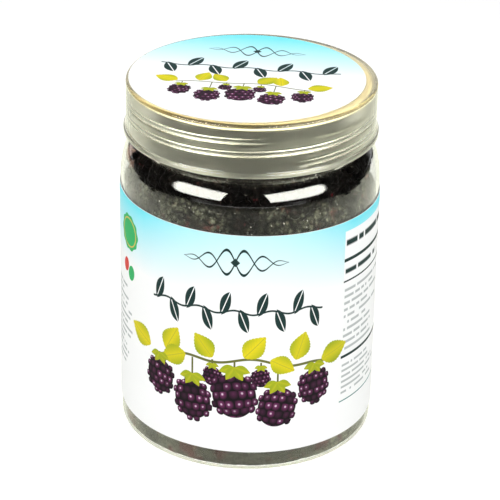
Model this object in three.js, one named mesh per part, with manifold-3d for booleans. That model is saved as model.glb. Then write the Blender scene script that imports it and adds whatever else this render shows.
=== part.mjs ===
// A clear plastic jar packed with dried bramble berries, with a screw lid and paper labels.
// Millimetres, +Z up. The origin is the middle of the ring that the jar stands on, and the front faces -Y.
// An azimuth is measured from the front, towards +X, so that it grows to the right as the jar is looked at.

import * as THREE from "three";
import { mergeVertices } from "three/addons/utils/BufferGeometryUtils.js";
import Module from "manifold-3d";

const wasm = await Module();
wasm.setup();

// Driving dimensions.
const facets = 48; // flats round every turned piece
const bodyRadius = 49.6;
const bodyWall = 1;
const footRadius = 40; // inner edge of the standing ring
const pushUp = 4.6; // rise of the base at its middle
const heelRadius = 3.4;
const shoulderStart = 104; // height where the straight body ends
const upperShoulder = 113; // height where the shoulder turns in more tightly
const gentleArc = 36;
const tightArc = 14;
const neckRadius = 44.6;
const neckBore = 43;
const rimHeight = 139.8;
const rimChamfer = 0.7;

const lidTop = 143;
const lidPlate = 1.4;
const lidRadius = 47.4;
const lidBore = 46.2;
const lidEdge = 1; // rounding of the lid's top edge
const lidCorner = 0.6; // slope between the bore and the plate above it
const mouthFlare = 0.5; // widening of the bore at the lid's mouth
const mouthFlareHeight = 0.8;
const flangeRadius = 48.4;
const flangeBottom = 122.6;
const flangeTop = 124.4;
const flangeLowerEdge = 0.4;
const flangeUpperEdge = 0.5;

const threadPitch = 5.08;
const threadStart = 15; // azimuth where the lid's thread begins, in degrees
const lidThread = { height: 126.5, turns: 2, crest: 44.95, rootHalf: 1.3, crestHalf: 0.7 };
const neckThread = { height: 129.04, turns: 1.5, crest: 45.9, rootHalf: 1.3, crestHalf: 0.6 };
const threadSink = 0.5; // how far a thread's root goes into its wall
const threadFade = 4; // facets over which a thread's end runs out
const threadTuck = 0.05; // how far a thread's very end lies under its wall

const linerRadius = 45;
const linerThickness = 1.35;
const linerGap = 0.25; // between the liner and the rim below it

const lidLabelRadius = 44.6;
const lidLabelShift = -1.8; // along X, as it was stuck on
const wrapOuter = 50;
const wrapInner = 49.7;
const wrapBottom = 9.1; // height at the front
const wrapTop = 100.65;
const wrapSkew = 0.67; // drop of the label for each radian to the right, as it was wrapped
const wrapSeam = 180; // azimuth of the seam
const wrapSeamGap = 1.5; // degrees left open on each side of it
const paperLift = 0.05; // between a stuck label and what it is stuck to
const paperThickness = 0.25;

const fruitGap = 0.3; // between the fruit and the jar
const fruitTop = 121; // no berry stands higher
const coreRadius = 43.5;
const coreBottom = 7.2;
const coreTop = 110;
const berryRadius = 7;
const berryBump = 0.14; // how far the drupelets stand out, as a share of the radius
const berryWidth = 0.85; // least width, as a share of the radius
const berrySpread = 0.2; // how much wider and longer a berry may be
const ringJitter = 0.25; // share of a berry's step round its ring
const heightJitter = 2;
const seed = 11;

// Rings of berries, from the axis outwards: the base, the wall below the label, the wall above it, the top.
const berryRings = [
  { radius: 30, height: 9.5, count: 13, detail: 0 },
  { radius: 16, height: 10.5, count: 7, detail: 0 },
  { radius: 3, height: 11, count: 2, detail: 0 },
  { radius: 41.5, height: 9, count: 20, detail: 1 },
  { radius: 42, height: 97.5, count: 20, detail: 1 },
  { radius: 40.5, height: 108.5, count: 20, detail: 1 },
  { radius: 28, height: 110.5, count: 13, detail: 1 },
  { radius: 15, height: 111, count: 7, detail: 1 },
  { radius: 3, height: 110, count: 2, detail: 1 },
];

// Points of a profile along an arc, from one angle to the other.
function arcPoints(centreR, centreZ, radius, fromDegrees, toDegrees, steps) {
  const points = [];
  for (let i = 0; i <= steps; i += 1) {
    const angle = THREE.MathUtils.degToRad(fromDegrees + ((toDegrees - fromDegrees) * i) / steps);
    points.push([centreR + radius * Math.cos(angle), centreZ + radius * Math.sin(angle)]);
  }
  return points;
}

// The shoulder's two arcs, shrunk by an inset, from the straight body up to a given radius.
function shoulderPoints(inset, endRadius) {
  const turn = THREE.MathUtils.radToDeg(Math.asin((upperShoulder - shoulderStart) / gentleArc));
  const direction = THREE.MathUtils.degToRad(turn);
  const gentleCentre = bodyRadius - gentleArc;
  const tightCentreR = gentleCentre + (gentleArc - tightArc) * Math.cos(direction);
  const tightCentreZ = shoulderStart + (gentleArc - tightArc) * Math.sin(direction);
  const reach = (endRadius - tightCentreR) / (tightArc - inset);
  const end = THREE.MathUtils.radToDeg(Math.acos(reach));
  return [
    ...arcPoints(gentleCentre, shoulderStart, gentleArc - inset, 0, turn, 2),
    ...arcPoints(tightCentreR, tightCentreZ, tightArc - inset, turn, end, 3).slice(1),
  ];
}

// The base from the axis out to the heel's top, shrunk by an inset: push-up, standing ring and heel.
function basePoints(inset) {
  const points = [];
  const domeSteps = 3;
  for (let i = 0; i <= domeSteps; i += 1) {
    const share = i / domeSteps;
    points.push([footRadius * share, inset + pushUp * (1 - share * share)]);
  }
  const heelCentre = bodyRadius - heelRadius;
  points.push(...arcPoints(heelCentre, heelRadius, heelRadius - inset, -90, 0, 3));
  return points;
}

// A closed profile of [radius, height] pairs, turned about Z. It starts and ends on the axis, or closes on itself.
function turned(points) {
  const profile = points.map(([r, z]) => new THREE.Vector2(r, z));
  return new THREE.LatheGeometry(profile, facets).rotateX(Math.PI / 2);
}

function pointAt(radius, azimuth, height) {
  const angle = THREE.MathUtils.degToRad(azimuth);
  return [radius * Math.sin(angle), -radius * Math.cos(angle), height];
}

// A closed surface through a row of sections, each a ring of the same number of points.
function lofted(sections) {
  const count = sections[0].length;
  const positions = sections.flat(2);
  const index = [];
  for (let i = 0; i + 1 < sections.length; i += 1) {
    for (let j = 0; j < count; j += 1) {
      const next = (j + 1) % count;
      const a = i * count + j;
      const b = i * count + next;
      index.push(a, b + count, b, a, a + count, b + count);
    }
  }
  const last = (sections.length - 1) * count;
  for (let j = 1; j + 1 < count; j += 1) {
    index.push(0, j, j + 1, last, last + j + 1, last + j);
  }
  const geometry = new THREE.BufferGeometry();
  geometry.setAttribute("position", new THREE.Float32BufferAttribute(positions, 3));
  geometry.setIndex(index);
  return geometry;
}

// A screw thread: a tapered section carried up a helix, whose two ends run out into the wall.
function threadGeometry(thread, wallRadius) {
  const steps = Math.round(thread.turns * facets);
  const sections = [];
  for (let i = 0; i <= steps; i += 1) {
    const azimuth = threadStart + (360 * i) / facets;
    const rise = (threadPitch * i) / facets;
    const strength = Math.min(1, i / threadFade, (steps - i) / threadFade);
    const side = Math.sign(thread.crest - wallRadius);
    const root = wallRadius - side * threadSink;
    const standing = (thread.crest - wallRadius) * strength;
    const crest = wallRadius + standing - side * threadTuck * (1 - strength);
    const middle = thread.height + rise;
    const corners = [
      pointAt(root, azimuth, middle - thread.rootHalf),
      pointAt(crest, azimuth, middle - thread.crestHalf),
      pointAt(crest, azimuth, middle + thread.crestHalf),
      pointAt(root, azimuth, middle + thread.rootHalf),
    ];
    sections.push(side > 0 ? corners : corners.reverse());
  }
  return lofted(sections);
}

function solidFrom(geometry) {
  const bare = geometry.clone();
  bare.deleteAttribute("normal");
  bare.deleteAttribute("uv");
  const merged = mergeVertices(bare, 1e-4);
  const vertProperties = new Float32Array(merged.attributes.position.array);
  const triVerts = new Uint32Array(merged.index.array);
  return new wasm.Manifold(new wasm.Mesh({ numProp: 3, vertProperties, triVerts }));
}

function geometryFrom(solid) {
  const mesh = solid.getMesh();
  const geometry = new THREE.BufferGeometry();
  geometry.setAttribute("position", new THREE.BufferAttribute(new Float32Array(mesh.vertProperties), 3));
  geometry.setIndex(new THREE.BufferAttribute(new Uint32Array(mesh.triVerts), 1));
  const flat = geometry.toNonIndexed();
  flat.computeVertexNormals();
  return flat;
}

function named(name, geometry, material) {
  const mesh = new THREE.Mesh(geometry, new THREE.MeshStandardMaterial(material));
  mesh.name = name;
  return mesh;
}

// Jar: one blown wall with an open mouth, its neck thicker than its body, and the outside thread.
function jarBody() {
  const profile = [
    ...basePoints(0),
    ...shoulderPoints(0, neckRadius),
    [neckRadius, rimHeight - rimChamfer],
    [neckRadius - rimChamfer, rimHeight],
    [neckBore, rimHeight],
    ...shoulderPoints(bodyWall, neckBore).reverse(),
    ...basePoints(bodyWall).reverse(),
  ];
  const wall = solidFrom(turned(profile));
  return geometryFrom(wall.add(solidFrom(threadGeometry(neckThread, neckRadius))));
}

// Lid: flat top with a rounded edge, plain skirt, flange below, and the inside thread.
function lidShell() {
  const edgeCentre = lidRadius - lidEdge;
  const profile = [
    [0, lidTop - lidPlate],
    [lidBore - lidCorner, lidTop - lidPlate],
    [lidBore, lidTop - lidPlate - lidCorner],
    [lidBore, flangeBottom + mouthFlareHeight],
    [lidBore + mouthFlare, flangeBottom],
    [flangeRadius - flangeLowerEdge, flangeBottom],
    [flangeRadius, flangeBottom + flangeLowerEdge],
    [flangeRadius, flangeTop - flangeUpperEdge],
    [lidRadius, flangeTop],
    ...arcPoints(edgeCentre, lidTop - lidEdge, lidEdge, 0, 90, 3),
    [0, lidTop],
  ];
  const wall = solidFrom(turned(profile));
  return geometryFrom(wall.add(solidFrom(threadGeometry(lidThread, lidBore))));
}

function disc(radius, bottom, top) {
  return turned([[0, bottom], [radius, bottom], [radius, top], [0, top]]);
}

// Wrap label: a thin sleeve, open at its seam, that drops a little towards the right.
function wrapLabel() {
  const sections = [];
  const start = wrapSeam - 360 + wrapSeamGap;
  const sweep = 360 - 2 * wrapSeamGap;
  for (let i = 0; i <= facets; i += 1) {
    const azimuth = start + (sweep * i) / facets;
    const drop = wrapSkew * THREE.MathUtils.degToRad(azimuth);
    sections.push([
      pointAt(wrapInner, azimuth, wrapBottom - drop),
      pointAt(wrapOuter, azimuth, wrapBottom - drop),
      pointAt(wrapOuter, azimuth, wrapTop - drop),
      pointAt(wrapInner, azimuth, wrapTop - drop),
    ]);
  }
  return lofted(sections);
}

// Seeded draws between 0 and 1.
function makeDraw(start) {
  const multiplier = 1103515245;
  const increment = 12345;
  const modulus = 2147483648;
  let state = start;
  return () => {
    state = (state * multiplier + increment) % modulus;
    return state / modulus;
  };
}

// One dried berry: a squashed ball whose drupelets stand out of it.
function berry(draw, detail) {
  const geometry = new THREE.OctahedronGeometry(berryRadius, detail);
  geometry.deleteAttribute("normal");
  geometry.deleteAttribute("uv");
  const ball = mergeVertices(geometry, 1e-3);
  const position = ball.attributes.position;
  for (let i = 0; i < position.count; i += 1) {
    const grow = 1 + berryBump * (draw() - 0.5) * 2;
    position.setXYZ(i, position.getX(i) * grow, position.getY(i) * grow, position.getZ(i) * grow);
  }
  ball.scale(1, berryWidth + berrySpread * draw(), 1 + berrySpread * draw());
  ball.rotateX(draw() * Math.PI);
  ball.rotateZ(draw() * 2 * Math.PI);
  return ball;
}

// Fruit: the berries that the clear plastic shows, in rings, standing out of one packed mass, and all pressed
// against the jar. Behind the paper the mass is plain.
function driedBerries() {
  const draw = makeDraw(seed);
  const core = [[0, coreBottom], [coreRadius, coreBottom], [coreRadius, coreTop], [0, coreTop]];
  let mass = solidFrom(turned(core));
  for (const ring of berryRings) {
    const turn = draw() * 360;
    for (let i = 0; i < ring.count; i += 1) {
      const azimuth = turn + (360 * (i + ringJitter * (draw() - 0.5))) / ring.count;
      const height = ring.height + heightJitter * (draw() - 0.5);
      const one = berry(draw, ring.detail);
      one.translate(...pointAt(ring.radius, azimuth, height));
      mass = mass.add(solidFrom(one));
    }
  }
  const cavity = [
    ...basePoints(bodyWall + fruitGap),
    ...shoulderPoints(bodyWall + fruitGap, neckBore - fruitGap),
    [neckBore - fruitGap, fruitTop],
    [0, fruitTop],
  ];
  return geometryFrom(mass.intersect(solidFrom(turned(cavity))));
}

const jar = new THREE.Group();

jar.add(
  named("jar_body", jarBody(), {
    color: 0xd9ddd6,
    roughness: 0.06,
    metalness: 0,
    transparent: true,
    opacity: 0.3,
  }),
);

jar.add(
  named("dried_berries", driedBerries(), {
    color: 0x1d1216,
    roughness: 0.6,
    metalness: 0,
  }),
);

jar.add(
  named("wrap_label", wrapLabel(), {
    color: 0xeefcfd,
    roughness: 0.4,
    metalness: 0,
  }),
);

const linerBottom = rimHeight + linerGap;
jar.add(
  named("lid_liner", disc(linerRadius, linerBottom, linerBottom + linerThickness), {
    color: 0xe9e2c4,
    roughness: 0.7,
    metalness: 0,
  }),
);

jar.add(
  named("lid_shell", lidShell(), {
    color: 0xe4e3d2,
    roughness: 0.08,
    metalness: 0,
    transparent: true,
    opacity: 0.35,
  }),
);

const lidLabelBottom = lidTop + paperLift;
const lidLabel = named("lid_label", disc(lidLabelRadius, lidLabelBottom, lidLabelBottom + paperThickness), {
  color: 0xeefcfd,
  roughness: 0.4,
  metalness: 0,
});
lidLabel.position.x = lidLabelShift;
jar.add(lidLabel);

export default jar;
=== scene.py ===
import math
import random

import bpy
from mathutils import Matrix, Vector


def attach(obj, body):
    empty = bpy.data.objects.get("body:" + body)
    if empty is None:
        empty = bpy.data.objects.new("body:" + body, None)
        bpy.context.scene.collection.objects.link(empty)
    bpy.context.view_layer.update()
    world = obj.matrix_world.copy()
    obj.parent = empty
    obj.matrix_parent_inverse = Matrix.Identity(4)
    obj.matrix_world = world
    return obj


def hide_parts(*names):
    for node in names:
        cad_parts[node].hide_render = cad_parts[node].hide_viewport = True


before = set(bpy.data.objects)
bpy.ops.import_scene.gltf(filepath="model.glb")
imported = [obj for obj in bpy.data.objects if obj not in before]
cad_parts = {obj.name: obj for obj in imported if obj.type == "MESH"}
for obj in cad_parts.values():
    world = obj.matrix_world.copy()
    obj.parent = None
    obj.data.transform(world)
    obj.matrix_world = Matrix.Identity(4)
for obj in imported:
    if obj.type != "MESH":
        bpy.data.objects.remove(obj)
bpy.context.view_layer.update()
mm = 0.001


# small helpers for modelling

def lookAlone(piece):
    bpy.ops.object.select_all(action="DESELECT")
    piece.select_set(True)
    bpy.context.view_layer.objects.active = piece


def applyAll(piece):
    lookAlone(piece)
    for modifier in list(piece.modifiers):
        bpy.ops.object.modifier_apply(modifier=modifier.name)


def polar(radius, azimuth, height):  # azimuth in degrees from the front, growing to the right
    angle = math.radians(azimuth)
    return Vector((radius * math.sin(angle), -radius * math.cos(angle), height))


def azimuthOf(point):
    return math.degrees(math.atan2(point.x, -point.y))


def arcPoints(centreR, centreZ, radius, start, end, steps):
    turns = [math.radians(start + (end - start) * i / steps) for i in range(steps + 1)]
    return [(centreR + radius * math.cos(t), centreZ + radius * math.sin(t)) for t in turns]


def traceOutline(name, outline, closed):  # one vertex, extruded from point to point of an outline in mm
    bpy.ops.object.select_all(action="DESELECT")
    bpy.ops.mesh.primitive_plane_add(size=mm, location=(0, 0, 0))
    piece = bpy.context.object
    piece.name = name
    bpy.ops.object.mode_set(mode="EDIT")
    bpy.ops.mesh.merge(type="CENTER")
    here = Vector((0, 0, 0))
    for i, (radius, height) in enumerate(outline):
        there = Vector((radius * mm, 0, height * mm))
        if i == 0:
            bpy.ops.transform.translate(value=there)
        else:
            bpy.ops.mesh.extrude_vertices_move(TRANSFORM_OT_translate={"value": there - here})
        here = there
    if closed:
        bpy.ops.mesh.select_all(action="SELECT")
        bpy.ops.mesh.remove_doubles(threshold=0.001 * mm)
    return piece


supportGap = 0.35  # in mm


def supported(outline):  # with points close to both ends of every long straight, so that it shades flat
    gap = supportGap
    points = [outline[0]]
    for (r0, z0), (r1, z1) in zip(outline, outline[1:]):
        length = math.hypot(r1 - r0, z1 - z0)
        if length > 4 * gap:
            for share in (gap / length, 1 - gap / length):
                points.append((r0 + (r1 - r0) * share, z0 + (z1 - z0) * share))
        points.append((r1, z1))
    return points


def spinOutline(name, outline, steps):
    piece = traceOutline(name, supported(outline), False)
    bpy.ops.mesh.select_all(action="SELECT")
    bpy.ops.mesh.spin(steps=steps, angle=math.tau, center=(0, 0, 0), axis=(0, 0, 1))
    bpy.ops.mesh.select_all(action="SELECT")
    bpy.ops.mesh.remove_doubles(threshold=0.001 * mm)
    bpy.ops.mesh.normals_make_consistent(inside=False)
    bpy.ops.object.mode_set(mode="OBJECT")
    return piece


def moveMesh(offset):  # of the active piece
    bpy.ops.object.mode_set(mode="EDIT")
    bpy.ops.mesh.select_all(action="SELECT")
    bpy.ops.transform.translate(value=offset)
    bpy.ops.object.mode_set(mode="OBJECT")


def drawIn(vertex, share):  # towards the axis
    vertex.co.x *= share
    vertex.co.y *= share


def smoothBelow(piece, degrees):
    lookAlone(piece)
    bpy.ops.object.shade_smooth_by_angle(angle=math.radians(degrees))


def finishPiece(piece, body, slotName, material, *nodes):
    piece.data.materials.clear()
    piece.data.materials.append(material)
    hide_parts(*nodes)
    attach(piece, body)


# small helpers for shading

def isSocket(value):
    return not isinstance(value, (int, float, tuple))


def feed(socket, value):  # a link from another socket, or a constant
    if isSocket(value):
        socket.id_data.links.new(value, socket)
    else:
        socket.default_value = value


def feedAll(node, values):
    for name, value in values.items():
        feed(node.inputs[name], value)


def addNode(kind, *values):  # in the tree of the first of these values that is a socket
    return next(filter(isSocket, values)).id_data.nodes.new("ShaderNode" + kind)


def calc(operation, *values, clamp=False):
    node = addNode("Math", *values)
    node.operation = operation
    for socket, value in zip(node.inputs, values):
        feed(socket, value)
    if clamp:  # by a node of its own, because the Math node's own clamp makes a large material too big to render
        limit = addNode("Clamp", node.outputs[0])
        feed(limit.inputs[0], node.outputs[0])
        return limit.outputs[0]
    return node.outputs[0]


def line(value, slope, start):
    return calc("MULTIPLY_ADD", value, slope, start)


def ramp(value, slope, start):  # a line that is kept from 0 to 1
    return calc("MULTIPLY_ADD", value, slope, start, clamp=True)


def times(product, *others):
    for value in others:
        product = calc("MULTIPLY", product, value)
    return product


def minus(value, taken):
    return calc("SUBTRACT", value, taken)


def sizeOf(value):
    return calc("ABSOLUTE", value)


def squaresOf(x, y):
    return line(x, x, times(y, y))


def reachOf(x, y):
    return calc("SQRT", squaresOf(x, y))


def mixColor(mask, below, above):
    node = addNode("Mix", mask)
    node.data_type = "RGBA"
    feedAll(node, {0: mask, 6: below, 7: above})  # by number, because sockets of other kinds have the same names
    return node.outputs[2]


def ink(red, green, blue):
    return (red, green, blue, 1.0)


def within(distance, limit, soft):  # 1 where distance is under limit, with a soft edge
    gap = minus(limit, distance)
    return calc("ADD", calc("DIVIDE", gap, soft), 0.5, clamp=True)


def noise(vector, scale, detail, roughness=0.5):
    node = addNode("TexNoise", vector)
    feedAll(node, {"Vector": vector, "Scale": scale, "Detail": detail, "Roughness": roughness})
    return node.outputs["Fac"]


def whiteDraw(key):  # an even draw from 0 to 1 for each whole key
    node = addNode("TexWhiteNoise", key)
    node.noise_dimensions = "1D"
    feed(node.inputs["W"], key)
    return node.outputs["Value"]


def splitXyz(vector):
    node = addNode("SeparateXYZ", vector)
    feed(node.inputs[0], vector)
    return node.outputs[0], node.outputs[1], node.outputs[2]


def newGroup(name, draw, inputs, outputs):  # sockets carry a number unless they are called Vector or Color
    tree = bpy.data.node_groups.new(name, "ShaderNodeTree")
    for side, socketNames in (("INPUT", inputs), ("OUTPUT", outputs)):
        for socketName in socketNames:
            kind = socketName if socketName in ("Vector", "Color") else "Float"
            tree.interface.new_socket(name=socketName, in_out=side, socket_type="NodeSocket" + kind)
    entry = tree.nodes.new("NodeGroupInput")
    leave = tree.nodes.new("NodeGroupOutput")
    values = draw(*[entry.outputs[socketName] for socketName in inputs])
    for socket, value in zip(leave.inputs, values):
        feed(socket, value)
    return tree


def roughen(shader, height, strength, depth):  # a bump of a depth in metres
    bump = addNode("Bump", height)
    feedAll(bump, {"Strength": strength, "Distance": depth, "Height": height})
    feed(shader.inputs["Normal"], bump.outputs[0])


def useGroup(group, **values):
    node = addNode("Group", *values.values())
    node.node_tree = group
    feedAll(node, values)
    return node


def newMaterial(name):
    material = bpy.data.materials.new(name)
    material.use_nodes = True
    tree = material.node_tree
    return material, tree, tree.nodes["Principled BSDF"]


def placeVector(tree, kind):
    return tree.nodes.new("ShaderNodeTexCoord").outputs[kind]


# camera, light and floor

cameraPlan = {
    "lens": 154.0,
    "elevation": 26.07,
    "distance": 0.8349,
    "targetHeight": 0.0707,
    "roll": 1.12,
    "shiftX": 0.0026,
}


def addCamera():
    plan = cameraPlan
    data = bpy.data.cameras.new("camera")
    data.lens = plan["lens"]
    data.shift_x = plan["shiftX"]
    camera = bpy.data.objects.new("camera", data)
    bpy.context.scene.collection.objects.link(camera)
    tilt = math.radians(plan["elevation"])
    target = Vector((0, 0, plan["targetHeight"]))
    place = target + plan["distance"] * Vector((0, -math.cos(tilt), math.sin(tilt)))
    lookUp = Matrix.Rotation(math.pi / 2 - tilt, 4, "X")
    roll = Matrix.Rotation(math.radians(plan["roll"]), 4, "Z")
    camera.matrix_world = Matrix.Translation(place) @ lookUp @ roll
    bpy.context.scene.camera = camera


lightPlan = {
    "boxes": [  # seen as reflections: azimuth, elevation, width, height, radiance
        ("left_box", -48.9, 21.5, 1.06, 0.72, 19.0),
        ("right_box", 44.9, 21.5, 1.2, 0.72, 19.0),
    ],
    "boxRound": 0.3,
    "boxSoft": 0.11,
    "boxTint": (1.0, 1.0, 0.92),
    "fills": [  # light for matt surfaces: azimuth, elevation, power
        ("left_fill", -48, 27, 7.2),
        ("right_fill", 48, 27, 7.2),
        ("top_fill", 0, 84, 12.5),
    ],
    "distance": 1.15,
    "fillSize": 0.9,
}


def addAreaLight(name, azimuth, elevation, width, height, power):
    distance = lightPlan["distance"]
    tilt = math.radians(elevation)
    target = Vector((0, 0, cameraPlan["targetHeight"]))
    place = target + polar(distance * math.cos(tilt), azimuth, distance * math.sin(tilt))
    data = bpy.data.lights.new(name, "AREA")
    data.shape = "RECTANGLE"
    data.size = width
    data.size_y = height
    data.energy = power
    light = bpy.data.objects.new(name, data)
    bpy.context.scene.collection.objects.link(light)
    light.location = place
    light.rotation_euler = (target - place).to_track_quat("-Z", "Y").to_euler()
    light.visible_camera = False
    return light


def roundBox(light, width, height, outer):  # rounds and softens the corners of a light on its outer side
    light.data.use_nodes = True
    tree = light.data.node_tree
    u, v, w = splitXyz(tree.nodes.new("ShaderNodeNewGeometry").outputs["Parametric"])
    bend = lightPlan["boxRound"]
    across = line(u, width * outer, -width * outer / 2)
    up = sizeOf(line(v, height, -height / 2))
    pastX = calc("MAXIMUM", minus(across, width / 2 - bend), 0.0)
    pastY = calc("MAXIMUM", minus(up, height / 2 - bend), 0.0)
    reach = reachOf(pastX, pastY)
    shape = within(reach, bend - lightPlan["boxSoft"], lightPlan["boxSoft"])
    feed(tree.nodes["Emission"].inputs["Strength"], shape)


def addLights():
    plan = lightPlan
    for name, azimuth, elevation, width, height, radiance in plan["boxes"]:
        power = radiance * math.pi * width * height
        box = addAreaLight(name, azimuth, elevation, width, height, power)
        box.visible_diffuse = False
        box.data.color = plan["boxTint"]
        roundBox(box, width, height, -1 if azimuth < 0 else 1)
    for name, azimuth, elevation, power in plan["fills"]:
        fill = addAreaLight(name, azimuth, elevation, plan["fillSize"], plan["fillSize"], power)
        fill.visible_glossy = False
        fill.visible_transmission = False


skyPlan = {
    "white": 1.0,
    "dark": 0.003,
    "behind": (6.0, -4.2),  # slope and start of its whiteness towards the back
    "low": (-30.0, 0.5),  # the same going down past the horizon
    "lowHalf": 0.75,
    "lowSoft": 0.1,
    "underTop": (-4.0, 3.6),  # and the same going down from straight above
}


def addWorld():  # white below the horizon and behind the object, dark above in front, always white to the camera
    plan = skyPlan
    world = bpy.data.worlds.new("studio")
    world.use_nodes = True
    bpy.context.scene.world = world
    tree = world.node_tree
    background = tree.nodes["Background"]
    x, y, z = splitXyz(placeVector(tree, "Generated"))
    behind = ramp(y, *plan["behind"])
    low = ramp(z, *plan["low"])
    low = times(low, within(sizeOf(x), plan["lowHalf"], plan["lowSoft"]))
    underTop = ramp(z, *plan["underTop"])
    lit = calc("MAXIMUM", low, times(behind, underTop))
    path = tree.nodes.new("ShaderNodeLightPath")
    lit = calc("MAXIMUM", lit, path.outputs["Is Camera Ray"])
    strength = line(lit, plan["white"] - plan["dark"], plan["dark"])
    feedAll(background, {"Color": ink(1.0, 1.0, 1.0), "Strength": strength})


floorPlan = {
    "radius": 2.6,
    "sides": 96,
    "color": ink(0.62, 0.615, 0.595),
    "rough": 0.9,
    "specular": 0.1,
    "glow": 0.52,
    "shade": (0.24, 2.1, 0.78),  # in reflections: at the axis, growing towards the front, and at most
    "mirrorTint": ink(1.0, 1.04, 0.72),
    "deepFrom": 2.5,  # behind more faces of plastic than this
    "deepLight": 0.8,  # so much of that shade is lifted
    "halfWidth": 0.64,  # in reflections it ends here, and gets wider towards the front
    "widening": 1.5,
    "edgeSoft": 0.03,
}


def addFloor():
    plan = floorPlan
    bpy.ops.object.select_all(action="DESELECT")
    bpy.ops.mesh.primitive_circle_add(
        vertices=plan["sides"], radius=plan["radius"], fill_type="NGON", location=(0, 0, 0)
    )
    floor = bpy.context.object
    floor.name = "floor"
    material, tree, shader = newMaterial("pale_floor")
    path = tree.nodes.new("ShaderNodeLightPath")
    matt = minus(1.0, path.outputs["Is Diffuse Ray"])
    mirrored = times(calc("MINIMUM", path.outputs["Glossy Depth"], 1.0), matt)
    deep = calc("GREATER_THAN", path.outputs["Transmission Depth"], plan["deepFrom"])
    mirrored = times(mirrored, line(deep, -plan["deepLight"], 1.0))
    x, y, z = splitXyz(placeVector(tree, "Object"))
    ahead = calc("MAXIMUM", times(y, -1.0), 0.0)
    edge = line(ahead, plan["widening"], plan["halfWidth"])
    inside = within(sizeOf(x), edge, plan["edgeSoft"])
    start, growth, most = plan["shade"]
    front = calc("MINIMUM", ramp(y, -growth, start), most)
    shade = times(mirrored, calc("MAXIMUM", front, minus(1.0, inside)))
    feedAll(shader, {
        "Base Color": mixColor(shade, plan["color"], ink(0.0, 0.0, 0.0)),
        "Roughness": plan["rough"],
        "Specular IOR Level": plan["specular"],
        "Emission Color": mixColor(mirrored, ink(1.0, 1.0, 1.0), plan["mirrorTint"]),
        "Emission Strength": line(shade, -plan["glow"], plan["glow"]),
    })
    floor.data.materials.append(material)


addCamera()
addLights()
addWorld()
addFloor()
bpy.context.scene.view_settings.view_transform = "Standard"
print("stage: camera, lights and floor")


# effects that several materials share

hazePattern = {"smudges": 45.0, "edges": (4.0, -2.1), "scuffs": 900.0}


def drawHaze(vector, amount, frost):  # an even frost with faint smudges and fine scuffs over it, as a roughness
    patch = ramp(noise(vector, hazePattern["smudges"], 3.0), *hazePattern["edges"])
    scuff = times(patch, noise(vector, hazePattern["scuffs"], 2.0))
    return [line(scuff, amount, frost)]


berryPrint = {  # in half widths of the berry
    "pitch": 0.37,
    "rowPitch": 0.93,  # of the pitch
    "bulge": 0.38,  # how much smaller the drupelets get towards the edge
    "jitter": 0.03,
    "drupelet": 0.19,
    "furthest": 1.04,
    "heart": 0.98,
    "soft": 0.03,
    "shine": (-0.04, 0.05),  # where each drupelet is lightest
    "shading": (-4.6, 1.0, 1.1),  # slope, start and power of its light
    "spark": (0.035, 0.05),  # radius and soft edge
    "sparkShare": (2.4, -0.9),
    "shadow": ink(0.005, 0.002, 0.005),
    "dark": ink(0.03, 0.006, 0.022),
    "ripe": ink(0.2, 0.03, 0.13),
    "white": ink(0.7, 0.55, 0.68),
}


def drawBerry(x, y, variation):  # one printed berry with its drupelets in staggered rows
    plan = berryPrint
    pitch = plan["pitch"]
    rowPitch = pitch * plan["rowPitch"]
    bulge = line(squaresOf(x, y), plan["bulge"], 1.0)
    flatX = times(x, bulge)
    flatY = times(y, bulge)
    row = calc("ROUND", calc("DIVIDE", flatY, rowPitch))
    shift = times(calc("FLOORED_MODULO", row, 2.0), pitch / 2)
    column = calc("ROUND", calc("DIVIDE", minus(flatX, shift), pitch))
    key = line(column, 3.7, line(row, 5.3, times(variation, 2.9)))  # one number for each drupelet
    centreX = line(calc("SINE", key), plan["jitter"], line(column, pitch, shift))
    centreY = line(calc("COSINE", times(key, 1.7)), plan["jitter"], times(row, rowPitch))
    localX = minus(flatX, centreX)
    localY = minus(flatY, centreY)
    inReach = calc("LESS_THAN", reachOf(centreX, centreY), plan["furthest"])
    drupelet = times(within(reachOf(localX, localY), plan["drupelet"], plan["soft"]), inReach)
    middle = within(reachOf(flatX, flatY), plan["heart"], plan["soft"])
    draw = whiteDraw(key)
    shineX, shineY = plan["shine"]
    offCentre = reachOf(minus(localX, shineX), minus(localY, shineY))
    slope, start, power = plan["shading"]
    lift = calc("POWER", ramp(offCentre, slope, start), power)
    fleshy = mixColor(draw, plan["dark"], plan["ripe"])
    color = mixColor(lift, plan["shadow"], fleshy)
    spark = times(within(offCentre, *plan["spark"]), ramp(draw, *plan["sparkShare"]))
    return [mixColor(spark, color, plan["white"]), calc("MAXIMUM", drupelet, middle)]


leafPrint = {  # in lengths of the leaf
    "swell": 1.45,
    "taper": (-0.55, 1.2),
    "length": (0.495, 0.01),  # half of it and its soft ends
    "notches": 34.0,
    "notchDepth": 0.022,
    "edgeSoft": 0.015,
    "rib": (0.014, 0.012),  # half width and soft edge
    "veins": 26.0,
    "veinLean": -0.9,
    "vein": (0.16, 0.1),
    "veinInk": 0.5,
    "edgeWarmth": 2.2,
    "yellow": ink(0.72, 0.6, 0.008),
    "green": ink(0.3, 0.36, 0.01),
    "pale": ink(0.42, 0.4, 0.02),
}


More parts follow.
